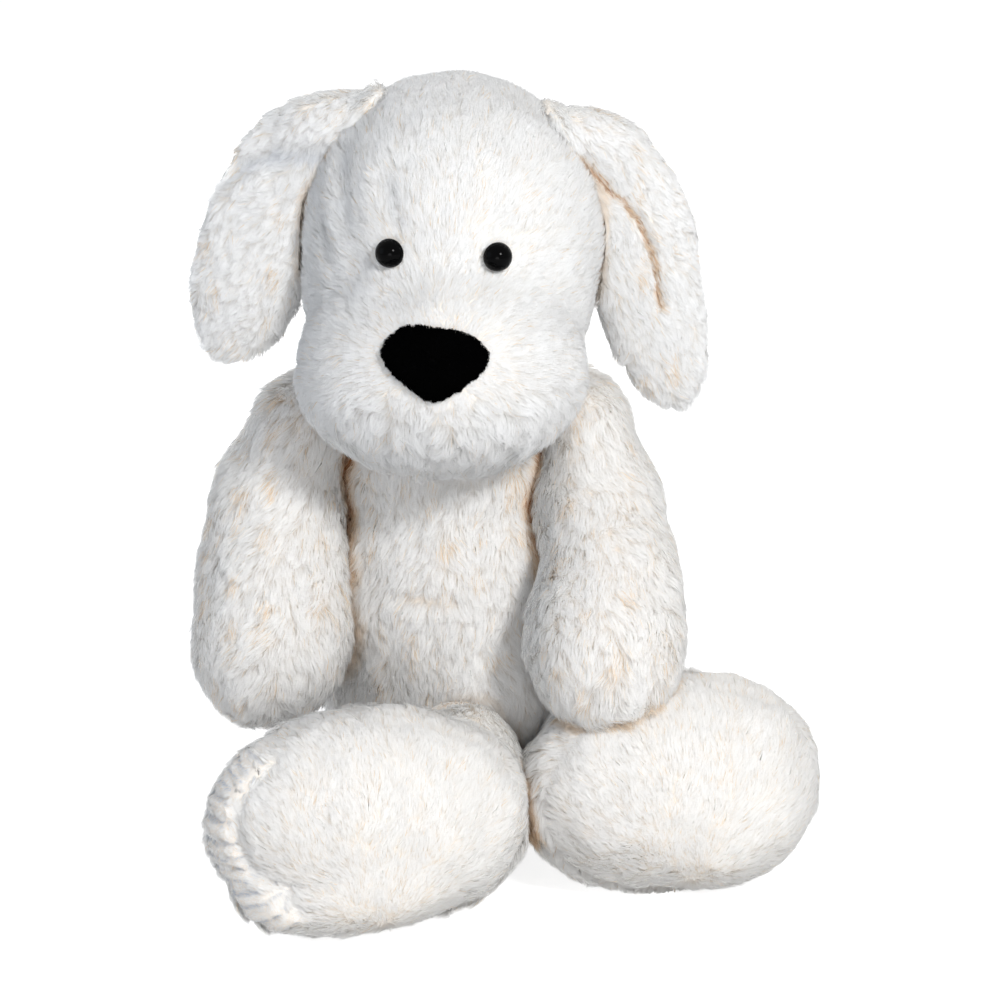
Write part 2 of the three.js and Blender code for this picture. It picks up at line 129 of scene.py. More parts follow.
def make_light():
    for lamp in LAMPS:
        make_lamp(*lamp)
    world = bpy.data.worlds.new("studio")
    bpy.context.scene.world = world
    world.use_nodes = True
    nodes, links = world.node_tree.nodes, world.node_tree.links
    nodes.clear()
    out = nodes.new("ShaderNodeOutputWorld")
    mix = nodes.new("ShaderNodeMixShader")
    soft = nodes.new("ShaderNodeBackground")
    soft.inputs["Color"].default_value = (0.94, 0.965, 1.0, 1.0)
    soft.inputs["Strength"].default_value = 0.29
    white = nodes.new("ShaderNodeBackground")
    white.inputs["Color"].default_value = (1.0, 1.0, 1.0, 1.0)
    white.inputs["Strength"].default_value = 1.0
    links.new(seen_rays(nodes, links), mix.inputs[0])
    links.new(soft.outputs[0], mix.inputs[1])
    links.new(white.outputs[0], mix.inputs[2])
    links.new(mix.outputs[0], out.inputs[0])


def make_floor():
    mesh = bpy.data.meshes.new("floor")
    half = 3.0
    corners = [(-half, -half, 0), (half, -half, 0), (half, half, 0), (-half, half, 0)]
    mesh.from_pydata(corners, [], [(0, 1, 2, 3)])
    floor = bpy.data.objects.new("floor", mesh)
    bpy.context.scene.collection.objects.link(floor)
    material, nodes, links, out = new_material("floor_paper")
    plain = nodes.new("ShaderNodeBsdfDiffuse")
    plain.inputs["Color"].default_value = (0.8, 0.8, 0.8, 1.0)
    glow = nodes.new("ShaderNodeEmission")
    glow.inputs["Color"].default_value = (1.0, 1.0, 1.0, 1.0)
    glow.inputs["Strength"].default_value = 0.8
    both = nodes.new("ShaderNodeAddShader")
    mix = nodes.new("ShaderNodeMixShader")
    links.new(plain.outputs[0], both.inputs[0])
    links.new(glow.outputs[0], both.inputs[1])
    links.new(seen_rays(nodes, links), mix.inputs[0])
    links.new(plain.outputs[0], mix.inputs[1])
    links.new(both.outputs[0], mix.inputs[2])
    links.new(mix.outputs[0], out.inputs[0])
    mesh.materials.append(material)


# ---------------------------------------------------------------- materials

def new_material(name):
    material = bpy.data.materials.new(name)
    material.use_nodes = True
    nodes, links = material.node_tree.nodes, material.node_tree.links
    nodes.clear()
    return material, nodes, links, nodes.new("ShaderNodeOutputMaterial")


def principled(nodes, rough, specular, sheen=0.0):
    shader = nodes.new("ShaderNodeBsdfPrincipled")
    shader.inputs["Roughness"].default_value = rough
    shader.inputs["Specular IOR Level"].default_value = specular
    shader.inputs["Sheen Weight"].default_value = sheen
    shader.inputs["Sheen Roughness"].default_value = 0.5
    return shader


def ramp(nodes, stops):
    node = nodes.new("ShaderNodeValToRGB")
    band = node.color_ramp
    while len(band.elements) < len(stops):
        band.elements.new(0.5)
    for element, (place, color) in zip(band.elements, stops):
        element.position = place
        element.color = (*color, 1.0)
    return node


def tinting(nodes):
    """A node that multiplies two colours."""
    node = nodes.new("ShaderNodeMix")
    node.data_type = "RGBA"
    node.blend_type = "MULTIPLY"
    node.inputs["Factor"].default_value = 1.0
    return node


def pile_material(name, root, middle, tip, spread, specular=0.08):
    """Standing pile: the colour runs from the root to the tip, and a little from lock to lock.

    OFBake holds the shade of a strand across, which also carries painted grey shade of creases and
    painted brown shade of slits, and the way from its root to its tip up.
    """
    material, nodes, links, out = new_material(name)
    where = nodes.new("ShaderNodeUVMap")
    where.uv_map = "OFBake"
    apart = nodes.new("ShaderNodeSeparateXYZ")
    along = ramp(nodes, [(0.0, root), (0.45, middle), (0.8, tip)])
    # Painted grey shade of creases at the bottom, tones from lock to lock in the middle, and above
    # the slit mark the tan of tan hairs and seam lines running into the painted brown shade of
    # slits
    lock = ramp(nodes, [
        (0.0, (0.66, 0.70, 0.77)), (0.1, (1.0 - spread,) * 3), (0.4, (1.0, 1.0, 1.0)),
        (PAINTED_SLIT_SHADE, (1.0, 1.0, 1.0)), (0.9, (0.94, 0.79, 0.62)), (1.0, (0.44, 0.18, 0.055)),
    ])
    tint = tinting(nodes)
    skin = principled(nodes, 0.8, specular)
    through = nodes.new("ShaderNodeBsdfTranslucent")
    mix = nodes.new("ShaderNodeMixShader")
    mix.inputs[0].default_value = 0.45
    links.new(where.outputs[0], apart.inputs[0])
    links.new(apart.outputs["Y"], along.inputs[0])
    links.new(apart.outputs["X"], lock.inputs[0])
    links.new(along.outputs[0], tint.inputs["A"])
    links.new(lock.outputs[0], tint.inputs["B"])
    links.new(tint.outputs["Result"], skin.inputs["Base Color"])
    warm = tinting(nodes)
    warm.inputs["B"].default_value = (1.0, 0.995, 0.985, 1.0)
    links.new(tint.outputs["Result"], warm.inputs["A"])
    links.new(warm.outputs["Result"], through.inputs["Color"])
    links.new(skin.outputs[0], mix.inputs[1])
    links.new(through.outputs[0], mix.inputs[2])
    # A strand lets part of the light past, so the pile doesn't go black at its roots
    clear = nodes.new("ShaderNodeBsdfTransparent")
    path = nodes.new("ShaderNodeLightPath")
    part = nodes.new("ShaderNodeMath")
    part.operation = "MULTIPLY"
    part.inputs[1].default_value = 0.55
    thin = nodes.new("ShaderNodeMixShader")
    links.new(path.outputs["Is Shadow Ray"], part.inputs[0])
    links.new(part.outputs[0], thin.inputs[0])
    links.new(mix.outputs[0], thin.inputs[1])
    links.new(clear.outputs[0], thin.inputs[2])
    links.new(thin.outputs[0], out.inputs[0])
    return material


def cloth_material(name, low, high, scale, weave, rough=0.95, bump=0.25, sheen=0.15):
    """A knitted or woven cloth: a fine cell pattern over a slow change of colour."""
    material, nodes, links, out = new_material(name)
    where = nodes.new("ShaderNodeTexCoord")
    slow = nodes.new("ShaderNodeTexNoise")
    slow.inputs["Scale"].default_value = scale
    slow.inputs["Detail"].default_value = 4.0
    colors = ramp(nodes, [(0.3, low), (0.7, high)])
    fine = nodes.new("ShaderNodeTexVoronoi")
    fine.inputs["Scale"].default_value = weave
    raised = nodes.new("ShaderNodeBump")
    raised.inputs["Strength"].default_value = bump
    raised.inputs["Distance"].default_value = 0.0004
    skin = principled(nodes, rough, 0.1 if sheen else 0.02, sheen)
    links.new(where.outputs["Object"], slow.inputs["Vector"])
    links.new(where.outputs["Object"], fine.inputs["Vector"])
    links.new(slow.outputs["Fac"], colors.inputs[0])
    links.new(colors.outputs[0], skin.inputs["Base Color"])
    links.new(fine.outputs["Distance"], raised.inputs["Height"])
    links.new(raised.outputs[0], skin.inputs["Normal"])
    links.new(skin.outputs[0], out.inputs[0])
    return material


def plastic_material(name, color, rough, mottle, scale, specular=0.5):
    """Moulded plastic with a faint change of colour and a fine grain."""
    material, nodes, links, out = new_material(name)
    where = nodes.new("ShaderNodeTexCoord")
    slow = nodes.new("ShaderNodeTexNoise")
    slow.inputs["Scale"].default_value = scale
    colors = ramp(nodes, [(0.3, tuple(c * (1.0 - mottle) for c in color)), (0.7, color)])
    grain = nodes.new("ShaderNodeTexNoise")
    grain.inputs["Scale"].default_value = scale * 12.0
    raised = nodes.new("ShaderNodeBump")
    raised.inputs["Strength"].default_value = 0.02
    raised.inputs["Distance"].default_value = 0.0002
    skin = principled(nodes, rough, specular)
    links.new(where.outputs["Object"], slow.inputs["Vector"])
    links.new(where.outputs["Object"], grain.inputs["Vector"])
    links.new(slow.outputs["Fac"], colors.inputs[0])
    links.new(colors.outputs[0], skin.inputs["Base Color"])
    links.new(grain.outputs["Fac"], raised.inputs["Height"])
    links.new(raised.outputs[0], skin.inputs["Normal"])
    links.new(skin.outputs[0], out.inputs[0])
    return material


# ---------------------------------------------------------------- rounded forms

def form(centre, stretch, turn, *lobes):
    """A rounded union of lobes, each (centre, half sizes, turn as a quaternion w, x, y, z)."""
    made = []
    for place, half, quat in lobes:
        axes = np.array(Quaternion(quat).to_matrix())
        made.append((np.array(place, float), np.array(half, float), axes))
    return {
        "centre": np.array(centre, float),
        "stretch": np.array(stretch, float),
        "turn": np.array(Quaternion(turn).to_matrix()),
        "lobes": made,
    }


UPRIGHT = (1.0, 0.0, 0.0, 0.0)
ROUND = (1.0, 1.0, 1.0)
RIGHT_EAR_TURN = (0.99027, 0.0, 0.13917, 0.0)
LEFT_EAR_TURN = (0.99027, 0.0, -0.13917, 0.0)
RIGHT_FOOT_TURN = (0.98769, 0.0, 0.0, 0.15643)
LEFT_FOOT_TURN = (0.98675, 0.00682, -0.04308, 0.15629)
RIGHT_ARM_TURN = (0.97248, -0.1988, 0.12149, 0.0)
LEFT_ARM_TURN = (0.92496, -0.37401, -0.06753, 0.0)
TAIL_TURN = (0.86603, -0.5, 0.0, 0.0)

TORSO = form(
    (-15.75, 26.75, 104.0), (134.0, 130.0, 204.0), UPRIGHT,
    ((-10.75, 34.75, 62.5), (67.0, 65.0, 63.0), UPRIGHT),
    ((-15.75, 26.75, 104.0), (62.0, 58.0, 58.0), UPRIGHT),
    ((-21.75, 26.75, 160.0), (52.0, 47.0, 44.0), UPRIGHT),
    ((-4.0, -4.0, 64.0), (27.0, 36.0, 34.0), UPRIGHT),
)
HEAD = form(
    (-23.0, 2.75, 227.04), ROUND, UPRIGHT,
    ((-20.75, 14.75, 257.04), (61.0, 59.0, 61.0), UPRIGHT),
    ((-23.0, 2.75, 227.04), (55.5, 51.0, 37.0), UPRIGHT),
    ((-25.25, -31.25, 206.04), (57.0, 44.0, 40.0), UPRIGHT),
)
RIGHT_EAR = form(
    (-97.75, 10.75, 252.04), (50.0, 20.0, 108.0), RIGHT_EAR_TURN,
    ((-97.75, 10.75, 252.04), (25.0, 10.0, 54.0), RIGHT_EAR_TURN),
    ((-71.75, 10.75, 294.04), (24.0, 14.0, 18.0), LEFT_EAR_TURN),
    ((-57.0, 10.75, 297.0), (18.0, 13.0, 14.0), LEFT_EAR_TURN),
    ((-103.5, 10.75, 236.0), (22.0, 10.0, 30.0), RIGHT_EAR_TURN),
)
LEFT_EAR = form(
    (55.25, 10.75, 235.04), (47.0, 20.0, 114.0), LEFT_EAR_TURN,
    ((55.25, 10.75, 235.04), (23.5, 10.0, 57.0), LEFT_EAR_TURN),
    ((35.25, 10.75, 288.04), (24.0, 14.0, 17.0), RIGHT_EAR_TURN),
    ((21.0, 10.75, 290.5), (18.0, 13.0, 14.0), RIGHT_EAR_TURN),
    ((54.0, 10.75, 256.0), (22.5, 10.0, 38.0), LEFT_EAR_TURN),
)
RIGHT_LEG = form(
    (-41.75, -77.5, 40.5), ROUND, UPRIGHT,
    ((-28.75, -62.75, 36.5), (40.0, 55.5, 37.0), UPRIGHT),
    ((-54.75, -92.25, 44.5), (64.0, 39.0, 45.0), RIGHT_FOOT_TURN),
    ((-60.0, -106.0, 20.0), (46.0, 25.0, 20.0), RIGHT_FOOT_TURN),
    ((-14.0, -42.0, 48.0), (20.0, 42.0, 28.0), UPRIGHT),
)
LEFT_LEG = form(
    (55.75, -46.75, 40.59), ROUND, UPRIGHT,
    ((46.25, -42.25, 36.5), (40.0, 35.0, 37.0), UPRIGHT),
    ((65.25, -51.25, 44.67), (64.0, 39.0, 45.0), LEFT_FOOT_TURN),
    ((84.0, -54.0, 30.0), (40.0, 31.0, 30.0), LEFT_FOOT_TURN),
)
RIGHT_ARM = form(
    (-82.75, 2.75, 134.5), (66.0, 62.0, 153.6), RIGHT_ARM_TURN,
    ((-71.75, 20.75, 176.0), (22.5, 22.5, 22.5), UPRIGHT),
    ((-92.99, 5.63, 141.14), (28.0, 28.0, 42.0), RIGHT_ARM_TURN),
    ((-93.75, -15.25, 93.0), (33.0, 31.0, 38.0), RIGHT_ARM_TURN),
    ((-83.0, 8.0, 172.0), (21.0, 25.0, 25.0), UPRIGHT),
    ((-94.0, -5.0, 117.0), (30.5, 29.0, 36.0), RIGHT_ARM_TURN),
)
LEFT_ARM = form(
    (32.75, -17.25, 139.0), (66.0, 62.0, 164.6), LEFT_ARM_TURN,
    ((26.25, 18.75, 176.0), (22.5, 22.5, 22.5), UPRIGHT),
    ((37.71, -11.49, 144.92), (26.5, 28.0, 42.0), LEFT_ARM_TURN),
    ((39.25, -53.25, 102.0), (33.0, 31.0, 38.0), LEFT_ARM_TURN),
    ((33.0, 2.0, 172.0), (19.0, 27.0, 25.0), UPRIGHT),
    ((43.0, -33.0, 123.0), (27.5, 29.5, 34.0), LEFT_ARM_TURN),
)
TAIL = form(
    (-10.75, 108.97, 43.33), (26.0, 26.0, 56.0), TAIL_TURN,
    ((-10.75, 108.97, 43.33), (13.0, 13.0, 28.0), TAIL_TURN),
)
NECK_SINK = 3.4  # the skin of the neck lies where the solid does
NECK_BOX = np.array(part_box("neck_filling")) / MM
NECK_PLACE, NECK_HALF = NECK_BOX.mean(0), (NECK_BOX[1] - NECK_BOX[0]) / 2.0 + NECK_SINK
NECK = form(NECK_PLACE, ROUND, UPRIGHT, (NECK_PLACE, NECK_HALF, UPRIGHT))
EYES = {
    "right": (np.array((-44.95, -41.47, 255.61)), np.array((-0.39531, -0.91825, -0.02335))),
    "left": (np.array((-2.77, -43.55, 254.57)), np.array((0.29453, -0.95479, -0.04046))),
}
NOSE = np.array((-26.75, -78.0, 218.64))
NOSE_HALF = (20.5, 13.25)
NOSE_OUTLINE = [
    (-0.97, 0.42), (-0.62, 0.93), (-0.1, 0.97), (0.55, 0.8), (0.93, 0.4),
    (0.93, -0.03), (0.5, -0.62), (0.02, -1.0), (-0.42, -0.72), (-0.86, -0.08),
]


def unit(vectors):
    return vectors / np.maximum(np.linalg.norm(vectors, axis=-1, keepdims=True), 1e-9)


def level_and_slope(shape, points, grow=0.0):
    """The level is one at the form's surface and less inside, and the slope is how it rises."""
    total = np.zeros(len(points))
    slope = np.zeros_like(points)
    for centre, half, axes in shape["lobes"]:
        sizes = half + grow
        local = (points - centre) @ axes / sizes
        far = np.maximum(np.linalg.norm(local, axis=1), 1e-3)
        total += far ** -BLEND
        slope += ((local / sizes) * (far ** (-BLEND - 2.0))[:, None]) @ axes.T
    level = total ** (-1.0 / BLEND)
    return level, slope * (level / total)[:, None]


def level_of(shape, points, grow=0.0):
    return level_and_slope(shape, points, grow)[0]


def surface(shape, directions, grow=0.0):
    """The outermost point of the form on each ray from its centre."""
    origin = shape["centre"]
    far = max(np.linalg.norm(c - origin) + 1.8 * max(h) for c, h, _ in shape["lobes"])
    count = len(directions)
    inside = np.zeros(count)
    found = np.zeros(count, bool)
    steps = 60
    for step in range(1, steps + 1):
        reach = far * (1.0 - step / steps)
        hit = (level_of(shape, origin + directions * reach, grow) <= 1.0) & ~found
        inside[hit] = reach
        found |= hit
    outside = inside + far / steps
    for _ in range(16):
        middle = (inside + outside) / 2.0
        hit = level_of(shape, origin + directions * middle[:, None], grow) <= 1.0
        inside = np.where(hit, middle, inside)
        outside = np.where(hit, outside, middle)
    return origin + directions * inside[:, None]


def push_out(points, shape, grow):
    """Moves the points that lie in a neighbour out to its surface."""
    points = points.copy()
    for _ in range(8):
        level, slope = level_and_slope(shape, points, grow)
        inside = level < 1.0
        if not inside.any():
            break
        steep = np.maximum((slope ** 2).sum(1), 1e-8)
        move = slope * ((1.0 - level) / steep)[:, None]
        size = np.linalg.norm(move, axis=1, keepdims=True)
        move *= np.minimum(1.0, 12.0 / np.maximum(size, 1e-9))
        points[inside] += move[inside]
    return points


def waves(points, size, count, seed):
    """A smooth wandering value, about -1 to 1, that changes over a length of size."""
    rng = np.random.default_rng(seed)
    lines = unit(rng.normal(size=(count, 3))) * (2.0 * math.pi / size)
    lines = lines * rng.uniform(0.7, 1.4, (count, 1))
    phases = rng.uniform(0.0, 2.0 * math.pi, count)
    return np.sin(points @ lines.T + phases).sum(1) / math.sqrt(2.0 * count)


def groove_at(points, path, width, depth):
    """How deep a groove along a path is at each point.

    A path of places across and up is a line on the front, and nothing behind it has the groove.
    """
    if len(path[0]) == 2:
        depth = depth * (points[:, 1] < FRONT_Y)
        points = points * (1.0, 0.0, 1.0)
        path = [(x, 0.0, z) for x, z in path]
    gap = np.full(len(points), np.inf)
    for a, b in zip(path[:-1], path[1:]):
        a, b = np.array(a, float), np.array(b, float)
        t = np.clip(((points - a) @ (b - a)) / ((b - a) @ (b - a)), 0.0, 1.0)
        gap = np.minimum(gap, np.linalg.norm(points - (a + t[:, None] * (b - a)), axis=1))
    return depth * np.exp(-((gap / width) ** 2))


# ---------------------------------------------------------------- meshes

def link(name, mesh, material):
    thing = bpy.data.objects.new(name, mesh)
    bpy.context.scene.collection.objects.link(thing)
    mesh.materials.append(material)
    return thing


def ball(detail):
    made = bmesh.new()
    bmesh.ops.create_icosphere(made, subdivisions=detail, radius=1.0)
    points = np.array([v.co for v in made.verts])
    faces = np.array([[v.index for v in f.verts] for f in made.faces])
    made.free()
    return points, faces


BALLS = {}


def vertex_normals(points, faces):
    a, b, c = (points[faces[:, k]] for k in range(3))
    flat = np.cross(b - a, c - a)
    total = np.zeros_like(points)
    for k in range(3):
        np.add.at(total, faces[:, k], flat)
    return unit(total)


def crevice(points, neighbours, reach=2.4, under=2.5):
    """How close each point lies to the edge of a neighbour, (form, share, its own reach).

    It is the share at the edge, and falls to 0 away from it and well under the neighbour.
    """
    closest = np.zeros(len(points))
    for shape, share, *own in neighbours:
        near = own[0] if own else reach
        level, slope = level_and_slope(shape, points)
        gap = (level - 1.0) / np.maximum(np.linalg.norm(slope, axis=1), 1e-9)
        fall = np.where(gap > 0.0, near, under)
        closest = np.maximum(closest, share * np.exp(-((gap / fall) ** 2)))
    return closest


def smooth(points, faces, rounds):
    """Evens out a mesh by moving its points towards the middle of their neighbours."""
    for _ in range(rounds):
        total = np.zeros_like(points)
        count = np.zeros(len(points))
        for i, j in ((0, 1), (1, 2), (2, 0)):
            for a, b in ((i, j), (j, i)):
                np.add.at(total, faces[:, a], points[faces[:, b]])
                np.add.at(count, faces[:, a], 1.0)
        points = total / count[:, None]
    return points


def skin_points(shape, detail, sink, keepouts, shaping, limits, lumpy=1.0):
    """The skin under the pile, clear of its neighbours, with lumps and grooves."""
    if detail not in BALLS:
        BALLS[detail] = ball(detail)
    rays, faces = BALLS[detail]
    directions = unit((rays * shape["stretch"]) @ shape["turn"].T)
    points = surface(shape, directions, -sink)
    for other, grow in keepouts:
        points = push_out(points, other, grow)
    if limits is not None:
        points = limits(points)
    normals = vertex_normals(points, faces)
    lumps = 0.9 * waves(points, 26.0, 14, SEED + 1) + 0.4 * waves(points, 11.0, 14, SEED + 2)
    points = points + normals * (lumpy * lumps)[:, None]
    if limits is not None:
        points = limits(points)
    points = smooth(points, faces, SKIN_ROUNDS)
    if shaping is not None:
        points = shaping(points, vertex_normals(points, faces))
    if limits is not None:
        points = limits(points)
    return points, faces


def mesh_of(name, points, faces, material, body, replaced):
    mesh = bpy.data.meshes.new(name)
    mesh.from_pydata((points * MM).tolist(), [], faces.tolist())
    mesh.polygons.foreach_set("use_smooth", np.ones(len(faces), bool))
    thing = link(name, mesh, material)
    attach(thing, body)
    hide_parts(replaced)


SUNK = 0.8  # how deep a root lies under the skin
DROOP = 0.3  # how far the second half of a strand still rises
FULL_LENGTH = 5.6  # a shorter strand shows less of its root's colour


def strands(name, points, faces, body, material, count, look, rng, keep):
    """Standing pile on a mesh. look gives each root its length, lean, flow and width."""
    a, b, c = (points[faces[:, k]] for k in range(3))
    sizes = np.linalg.norm(np.cross(b - a, c - a), axis=1) / 2.0
    picked = rng.choice(len(faces), size=count, p=sizes / sizes.sum())
    u, v = rng.random((2, count))
    over = u + v > 1.0
    u[over], v[over] = 1.0 - u[over], 1.0 - v[over]
    weights = np.stack([1.0 - u - v, u, v], 1)[:, :, None]
    corner_normals = vertex_normals(points, faces)
    roots = (points[faces[picked]] * weights).sum(1)
    normals = unit((corner_normals[faces[picked]] * weights).sum(1))
    kept = keep(roots)
    roots, normals = roots[kept], normals[kept]
    made = look(roots, normals)
    length, lean, flow, width = (made[kind] for kind in ("length", "lean", "flow", "width"))
    total = len(roots)
    flow = unit(flow - normals * (flow * normals).sum(1, keepdims=True))
    side = np.cross(flow, normals)
    turn = rng.normal(0.0, made.get("jitter", 0.3), total)[:, None]
    flow = flow * np.cos(turn) + side * np.sin(turn)
    side = np.cross(flow, normals)
    length = length * rng.uniform(0.72, 1.12, total)
    rise = np.clip(lean * rng.uniform(0.75, 1.25, total), 0.05, 0.95)[:, None]
    first = normals * rise + flow * np.sqrt(1.0 - rise ** 2)
    low = rise * DROOP
    second = normals * low + flow * np.sqrt(1.0 - low ** 2)
    half = (length * 0.5)[:, None]
    middle = roots + first * half
    tip = middle + second * half
    # Locks: the tips of neighbours draw together
    each = made["lock"]
    leaders = np.arange(0, total, each)
    tree = KDTree(len(leaders))
    for k, leader in enumerate(leaders):
        tree.insert(roots[leader], k)
    tree.balance()
    owner = np.array([tree.find(root)[1] for root in roots])
    led = leaders[owner]
    pull = (made["pull"] * np.ones(total))[:, None]
    tip = tip + (tip[led] - tip) * pull
    middle = middle + (middle[led] - middle) * (pull * 0.35)
    if "guard" in made:
        clear = made["guard"](middle, tip)
        roots, middle, tip, side, normals, width = (
            x[clear] for x in (roots, middle, tip, side, normals, width)
        )
        for kind in ("exposed", "tan"):
            made[kind] = made[kind][clear]
        owner = owner[clear]
        total = len(roots)
    twist = rng.normal(0.0, 0.55, total)[:, None]
    across = side * np.cos(twist) + normals * np.sin(twist)
    wide = (width * rng.uniform(0.75, 1.25, total))[:, None] / 2.0
    sunk = roots - normals * SUNK
    corners = np.stack([
        sunk - across * wide, sunk + across * wide,
        middle - across * wide * 0.9, middle + across * wide * 0.9, tip,
    ], 1)
    shade = PAINTED_CREASE_SHADE + rng.random(len(leaders))[owner] * 0.5 + rng.random(total) * 0.2
    shade = np.where(rng.random(total) < made["tan"], TAN_SHADE, shade)
    # Painted grey shade along creases and between pleats
    grey = made.get("grey", np.zeros(total))
    for path, wide_by, share in made.get("creases", ()):
        grey = np.maximum(grey, groove_at(roots, path, wide_by, share))
    grey = np.minimum(grey * rng.uniform(0.6, 1.2, total), 1.0)
    shade = np.where(grey > 0.05, PAINTED_CREASE_SHADE * (1.0 - grey), shade)
    # Painted brown shade in the slits along each neighbour's edge, and brown seam lines
    painted_slit_shade_and_seam = crevice(roots, made.get("neighbours", ())) * made.get("exposed", np.ones(total))
    for path, wide_by, share in made.get("seams", ()):
        painted_slit_shade_and_seam = np.maximum(painted_slit_shade_and_seam, groove_at(roots, path, wide_by, share))
    # The painted brown shade of the slits, and the brown seam lines with it, fade towards the back
    painted_slit_shade_and_seam = painted_slit_shade_and_seam * (1.0 - 0.75 * np.clip((roots[:, 1] - 4.0) / 14.0, 0.0, 1.0))
    painted_slit_shade_and_seam = painted_slit_shade_and_seam * rng.uniform(0.7, 1.15, total)
    painted_slit_and_seam_brown = PAINTED_SLIT_SHADE + (1.0 - PAINTED_SLIT_SHADE) * np.minimum(painted_slit_shade_and_seam, 1.0)
    shade = np.where(painted_slit_shade_and_seam > 0.06, painted_slit_and_seam_brown, shade)
    # The normals lean from the skin's towards the strand's own, so that the locks shade softly
    up = unit(np.cross(across, tip - roots))
    up *= np.sign((up * normals).sum(1, keepdims=True))
    lying = (middle - roots) / max(length.mean(), 1e-6)
    shown = unit(unit(normals + lying * 0.2) * 0.85 + up * 0.15)
    bands = max(1, math.ceil(total / MOST_STRANDS))
    order = np.argsort(roots[:, 2], kind="stable") if bands > 1 else np.arange(total)
    reach = np.linalg.norm(tip - roots, axis=1)
    low = np.clip(1.0 - reach / FULL_LENGTH, 0.0, 0.8)
    for band, chosen in enumerate(np.array_split(order, bands)):
        label = name if bands == 1 else f"{name}_{band + 1}"
        strand_mesh(label, corners[chosen], shade[chosen], low[chosen], shown[chosen],
                    body, material)


def strand_mesh(name, corners, shade, low, shown, body, material):
    """Strands of five points each: a strip of four and a pointed end."""
    total = len(corners)
    base = np.arange(total)[:, None] * 5
    strip, end = base + np.array([[0, 1, 3, 2]]), base + np.array([[2, 3, 4]])
    loops = np.concatenate([strip, end], 1).reshape(-1)
    mesh = bpy.data.meshes.new(name)
    mesh.vertices.add(total * 5)
    mesh.vertices.foreach_set("co", (corners * MM).astype(np.float32).reshape(-1))
    mesh.loops.add(len(loops))
    mesh.loops.foreach_set("vertex_index", loops.astype(np.int32))
    mesh.polygons.add(2 * total)
    starts = (np.arange(total)[:, None] * 7 + np.array([[0, 4]])).reshape(-1)
    mesh.polygons.foreach_set("loop_start", starts.astype(np.int32))
    mesh.polygons.foreach_set("use_smooth", np.ones(2 * total, bool))
    mesh.update(calc_edges=True)
    share = np.tile(np.array([0.0, 0.0, 0.55, 0.55, 0.55, 0.55, 1.0]), total)
    high = share + np.repeat(low, 7) * (1.0 - share)
    uv = mesh.uv_layers.new(name="OFBake")
    places = np.stack([np.repeat(shade, 7), high], 1)
    uv.data.foreach_set("uv", places.astype(np.float32).reshape(-1))
    mesh.normals_split_custom_set_from_vertices(np.repeat(shown, 5, axis=0).tolist())
    thing = link(name, mesh, material)
    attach(thing, body)


def area_of(points, faces):
    a, b, c = (points[faces[:, k]] for k in range(3))
    return float(np.linalg.norm(np.cross(b - a, c - a), axis=1).sum() / 2.0)


# ---------------------------------------------------------------- how the pile lies

def lie(points, flow, length, lean=0.6, width=0.34, swirl=0.35, patches=0.28, pull=0.48, lock=60,
        **more):
    """The common looks of the pile, with a wandering flow.

    patches is how many tan hairs its patches have, and lock how many strands lead one lock.
    """
    wander = np.stack([waves(points, 22.0, 12, SEED + 31 + k) for k in range(3)], 1)
    patchy = 1.0 + 0.12 * waves(points, 15.0, 12, SEED + 41)
    tan = np.clip((waves(points * (1.0, 1.0, 0.5), 11.0, 12, SEED + 51) - 0.35) * 1.2, 0.0, 1.0)
    count = len(points)
    return {
        "length": length * patchy * np.ones(count),
        "lean": lean * np.ones(count),
        "flow": unit(flow) + swirl * wander,
        "width": width * np.ones(count),
        "pull": pull,
        "lock": lock,
        "tan": 0.01 + patches * tan,
        **more,
    }


def still_shown(others):
    """Keeps the roots that no neighbour covers."""
    def keep(roots):
        shown = roots[:, 2] > FLOOR_Z + 0.3
        for other, grow in others:
            shown &= level_of(other, roots, grow) > 1.0
        return shown
    return keep


def head_look(roots, normals):
    away = roots - (NOSE + np.array((0.0, 12.0, 0.0)))
    radial = unit(away)
    down = np.array((0.0, 0.0, -1.0))
    low = np.clip((212.0 - roots[:, 2]) / 25.0, 0.0, 1.0)[:, None]
    behind = np.clip((roots[:, 1] - 5.0) / 40.0, 0.0, 1.0)[:, None]
    flow = radial * (1.0 - 0.75 * low) + down * low
    flow = flow * (1.0 - behind) + unit(flow * 0.2 + down) * behind
    top = np.clip((roots[:, 2] - 240.0) / 40.0, 0.0, 1.0)
    near_nose = np.clip(np.linalg.norm(away, axis=1) / 34.0, 0.45, 1.0)
    length = (8.0 - 1.0 * top) * near_nose + 4.5 * low[:, 0]
    for at, _ in EYES.values():
        gap = np.linalg.norm(roots - at, axis=1)
        length = length * np.clip(0.45 + 0.55 * (gap - 5.0) / 9.0, 0.45, 1.0)

    def guard(middle, tip):
        clear = np.ones(len(tip), bool)
        for at, aim in EYES.values():
            for place in (middle, tip):
                off = place - at
                off = off - aim * (off @ aim)[:, None]
                beside = np.linalg.norm(off, axis=1) > 4.6
                clear &= beside | (((place - at) @ aim) < -2.0)
        return clear

    # The painted brown shade at the ear roots fades out towards their tops
    low_ears = np.clip((292.0 - roots[:, 2]) / 18.0, 0.0, 1.0)
    # Painted grey shade along the brow creases
    creases = [(on_face(path), width * 0.8, grey) for path, width, _, grey in BROW_CREASES]
    ragged = 0.3 * low[:, 0]
    # Painted brown shade where the ears and the body meet the head
    return lie(roots, flow, length, lean=0.55, swirl=0.25, patches=0.04, guard=guard,
               jitter=0.25 + ragged, pull=0.32 + ragged, exposed=low_ears, creases=creases,
               neighbours=[(RIGHT_EAR, 1.0, 1.5), (LEFT_EAR, 1.0, 1.6), (TORSO, 0.2)])


